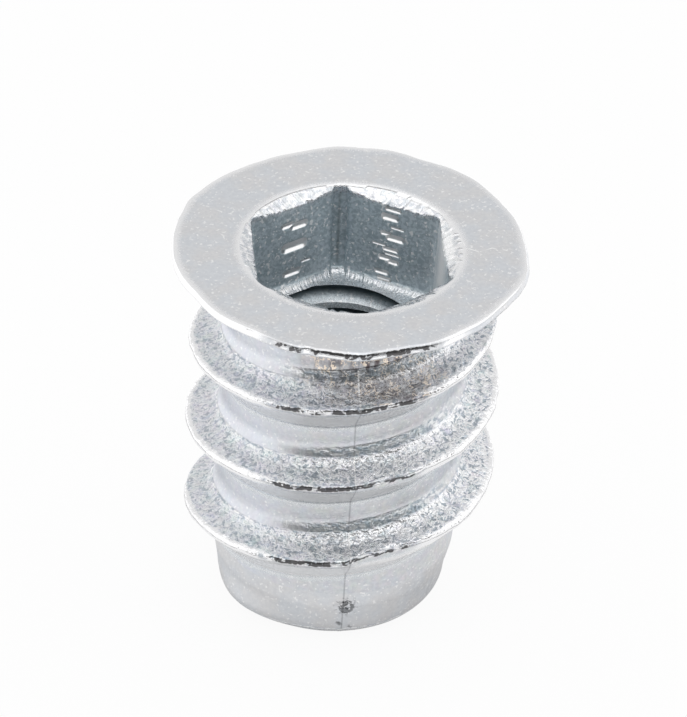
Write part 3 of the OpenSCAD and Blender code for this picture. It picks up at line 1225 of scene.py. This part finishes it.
# Noise that breaks the painted shade on the edges in front into ragged pieces.
shade_breaks = add("TexNoise", {"Vector": place_mm, "Scale": 6.5, "Detail": 1})
shade_breaks = add("Math", (shade_breaks, 0.5), operation="SUBTRACT")
shade_breaks = overlap(shade_breaks, add("MapRange", (painted_light, 0, -0.6, 0, 3), **SOFT))
ragged = add("Math", (painted_light, shade_breaks), operation="ADD")
tint = lay(tint, [
    # In the socket the bloom's darker bluish tone also paints the shade of the recess.
    (overlap(matt, 0.7), "#C4D4DC"),
    (overlap(matt, patches(6, 0.4, 0.6, 0.5, 0, detail=2, twist=0.6)), "#80949E"),
    (overlap(matt, patches(5, 0.62, 0.67)), "#F4F6F7"),
    # Painted shade: the bore is laid dark grey.
    (add("MapRange", (dull_and_shade, 0.5, 1), **SOFT), "#596367"),
    # Painted highlights, then painted shade on the edges in front.
    (add("MapRange", (ragged, 0, 1), **SOFT), "#F6F6F7"),
    (add("MapRange", (ragged, -0.35, -0.75, 0, 0.9), **SOFT), "#4F4D4E"),
    # Painted shade down the back corner.
    (corner_line, "#4A5458"),
    (overlap(seam, 0.45), "#7C7E82"),
    (overlap(seam, add("MapRange", (hammered, 0.4, 0.9), **SOFT)), "#FDFDFD"),
    (crest_pit, "#3A3A3C"),
    (overlap(gate, 0.75), "#595B5E"),
    # White of the scratch and the torn seam, painted reflections in the flow marks, and painted light on the
    # right wall.
    (strongest(flow_glint, scratch, right_wall_light, torn), "#FCFCFC"),
])
gloss = add("Math", (add("MapRange", (grain, 0.3, 0.7, 0.28, 0.38), **SOFT),
                     add("MapRange", (painted_light, 0, 1, 0, 0.15), **SOFT)), operation="SUBTRACT")
# The bloom covers up to 0.6 of the metal, and the flow marks shine through it.
bare = add("Math", (1.0, overlap(matt, 0.6)), operation="SUBTRACT")
bare = strongest(overlap(bare, add("MapRange", (right_wall_light, 0, 1, 1, 0.4), **SOFT)), flow_glint)
plating = add("BsdfPrincipled", {"Metallic": bare, "Base Color": tint, "Roughness": gloss, "Normal": relief})
add("OutputMaterial", {"Surface": plating})
skin_data.materials.append(metal)
print(f"{metal.name} has {len(tree.nodes)} nodes")

# %% [markdown]
# ## Paper floor
#
# The insert stands on white paper that runs up behind it. The camera sees the paper
# as plain white, with a soft shadow at the foot. Bright metal sees it too, so its light
# in reflections falls off near the foot, where the insert stands in its own light.

# %% Floor
PAPER_HALF = 1.5
NEAR_PAPER = 0.96
FAR_PAPER = 1.25
FOOT_SHADE = 0.62
PAPER_GLOW = 0.93
stage = bmesh.new()
bmesh.ops.create_grid(stage, x_segments=1, y_segments=1, size=PAPER_HALF)
stage_data = bpy.data.meshes.new("floor")
stage.to_mesh(stage_data)
stage.free()
floor = bpy.data.objects.new("floor", stage_data)
bpy.context.scene.collection.objects.link(floor)
paper = bpy.data.materials.new("white_paper")
paper.use_nodes = True
tree = paper.node_tree
tree.nodes.clear()
rays = add("LightPath").node.outputs
away = add("VectorMath", (add("TexCoord", output="Object"),), "Value", operation="LENGTH")
lit = overlap(add("MapRange", (away, 0.012, 0.05, NEAR_PAPER, FAR_PAPER), **SOFT),
              add("MapRange", (away, 0.004, 0.0085, FOOT_SHADE, 1), **SOFT))
shown = add("Mix", {0: rays["Is Camera Ray"], 2: lit, 3: 1.0}, data_type="FLOAT")
seen = strongest(rays["Is Camera Ray"], rays["Is Glossy Ray"])
matte = add("BsdfDiffuse", {"Color": linear("#F0F0F0")})
glow = add("Emission", {"Color": (1, 1, 1, 1), "Strength": shown})
add("OutputMaterial", {"Surface": add("MixShader", (overlap(seen, PAPER_GLOW), matte, glow))})
stage_data.materials.append(paper)
print(f"paper {2 * PAPER_HALF:.0f} m wide")

# %% [markdown]
# ## Camera
#
# The camera looks down at 37 degrees from a little left of the parting line, through a
# long lens, so the turns of the thread keep nearly the same size. It is rolled a little,
# and its lens is shifted to place the insert in the frame.

# %% Camera
ELEVATION = math.radians(37)
AZIMUTH = math.radians(-6)
ROLL = math.radians(2.507)
DISTANCE = 230
AIM = Vector((0, 0, 8.2))
SIDE_STEP = 1.639
FOCAL_LENGTH = 252.68
SENSOR_WIDTH = 36
SHIFT_X = 0.0536
SHIFT_Y = 0.0996
back = Vector((math.sin(AZIMUTH) * math.cos(ELEVATION),
               -math.cos(AZIMUTH) * math.cos(ELEVATION),
               math.sin(ELEVATION)))
level = Vector((math.cos(AZIMUTH), math.sin(AZIMUTH), 0))
upward = back.cross(level)
right = level * math.cos(ROLL) + upward * math.sin(ROLL)
up = upward * math.cos(ROLL) - level * math.sin(ROLL)
lens = bpy.data.cameras.new("camera")
lens.sensor_width = SENSOR_WIDTH
lens.lens = FOCAL_LENGTH
lens.shift_x = SHIFT_X
lens.shift_y = SHIFT_Y
lens.clip_start = 0.01
camera = bpy.data.objects.new("camera", lens)
eye = (AIM + back * DISTANCE - right * SIDE_STEP) * MM
camera.matrix_world = Matrix.Translation(eye) @ Matrix((right, up, back)).transposed().to_4x4()
bpy.context.scene.collection.objects.link(camera)
bpy.context.scene.camera = camera
print(f"camera {DISTANCE} mm away through a {lens.lens:.0f} mm lens")

# %% [markdown]
# ## Studio
#
# Bright metal shows its surroundings and little else. The studio is a pale room painted
# by direction: white panels overhead, behind and at the sides, and two dark ones low in
# front, where someone would stand, which give the roots and fillets their dark
# streaks. The camera itself sees plain white.

# %% Studio
world = bpy.data.worlds.new("studio")
bpy.context.scene.world = world
world.use_nodes = True
tree = world.node_tree
tree.nodes.clear()
way = add("SeparateXYZ", (add("TexCoord", output="Generated"),)).node.outputs
turn = add("Math", (add("Math", (way[1], way[0]), operation="ARCTAN2"),), operation="DEGREES")
rise = add("Math", (add("Math", (way[2],), operation="ARCSINE"),), operation="DEGREES")


def panel(side, half, low, high, soft):
    """How far a direction lies inside a panel of the studio, from 0 to 1, all in degrees."""
    off = add("Math", (add("Math", (turn, side), operation="SUBTRACT"), 180, -180), operation="WRAP")
    off = add("Math", (off,), operation="ABSOLUTE")
    return overlap(add("MapRange", (off, half - soft, half + soft, 1, 0), **SOFT),
                   add("MapRange", (rise, low - soft, low + soft, 0, 1), **SOFT),
                   add("MapRange", (rise, high - soft, high + soft, 1, 0), **SOFT))


ROOM = 0.82
# Each panel: direction, half width, lowest and highest edge, softness, and its light.
PANELS = [
    (0, 400, 74, 120, 8, 1.22),
    (84, 84, 54, 120, 8, 1.3),
    (178, 40, -30, 52, 16, 1.15),
    (-4, 32, 12, 50, 12, 1.3),
    (-90, 60, 48, 120, 10, 1.6),
    (-90, 56, -12, 46, 10, 0.22),
    (-90, 50, -14, 14, 12, 0.16),
]
glow = ROOM
for *shape, light in PANELS:
    glow = add("Mix", {0: panel(*shape), 2: glow, 3: light}, data_type="FLOAT")
seen = add("LightPath", output="Is Camera Ray")
glow = add("Mix", {0: seen, 2: glow, 3: 1.0}, data_type="FLOAT")
backdrop = add("Background", {"Color": glow, "Strength": 1.0})
add("OutputWorld", {"Surface": backdrop})
bpy.context.scene.view_settings.view_transform = "Standard"
print(f"{len(PANELS)} panels in the studio")
